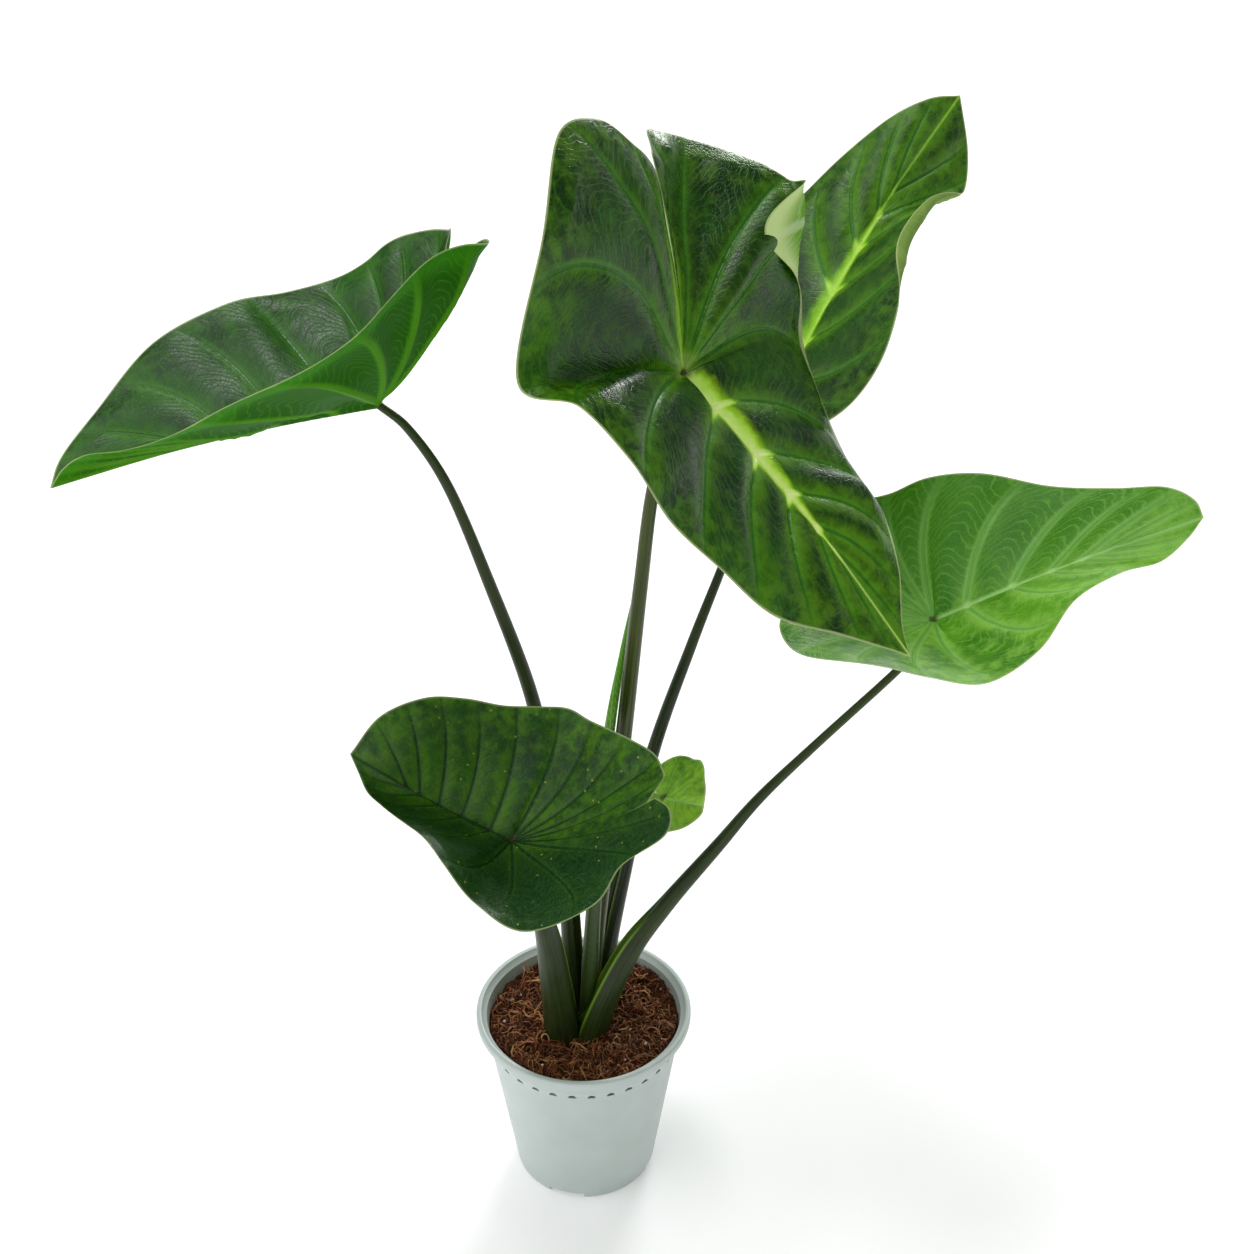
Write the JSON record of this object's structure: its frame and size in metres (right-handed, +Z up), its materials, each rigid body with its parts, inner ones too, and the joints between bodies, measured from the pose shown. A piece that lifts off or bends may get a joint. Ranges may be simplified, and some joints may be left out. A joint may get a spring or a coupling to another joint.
{
  "type": "potted king of cup colocasia",
  "caption": "Large-leaved aroid in a round nursery pot: heart-shaped glossy blades on long sheathed stalks, a new leaf still rolled, and coir soil.",
  "frame": {"origin": "middle of the flat pad under the pot, on the surface that the pot stands on", "axes": "+Z up, +X to the right and -Y towards the viewer of the pictured side"},
  "size_m": [0.7607, 0.4278, 0.8746],
  "materials": {
    "pot_plastic": "satin",
    "coir": "matte",
    "dark_leaf": "satin",
    "light_leaf": "satin",
    "new_leaf": "satin",
    "stalk": "satin"
  },
  "bodies": {
    "root": {"pot": "pot_plastic", "soil": "coir", "stalk_left": "stalk", "stalk_centre": "stalk", "stalk_back": "stalk", "stalk_right": "stalk", "stalk_front": "stalk", "stalk_small": "stalk", "new_leaf": "new_leaf", "blade_left": "dark_leaf", "blade_centre": "dark_leaf", "blade_back": "dark_leaf", "blade_right": "light_leaf", "blade_front": "dark_leaf", "blade_small": "light_leaf"}
  },
  "joints": []
}
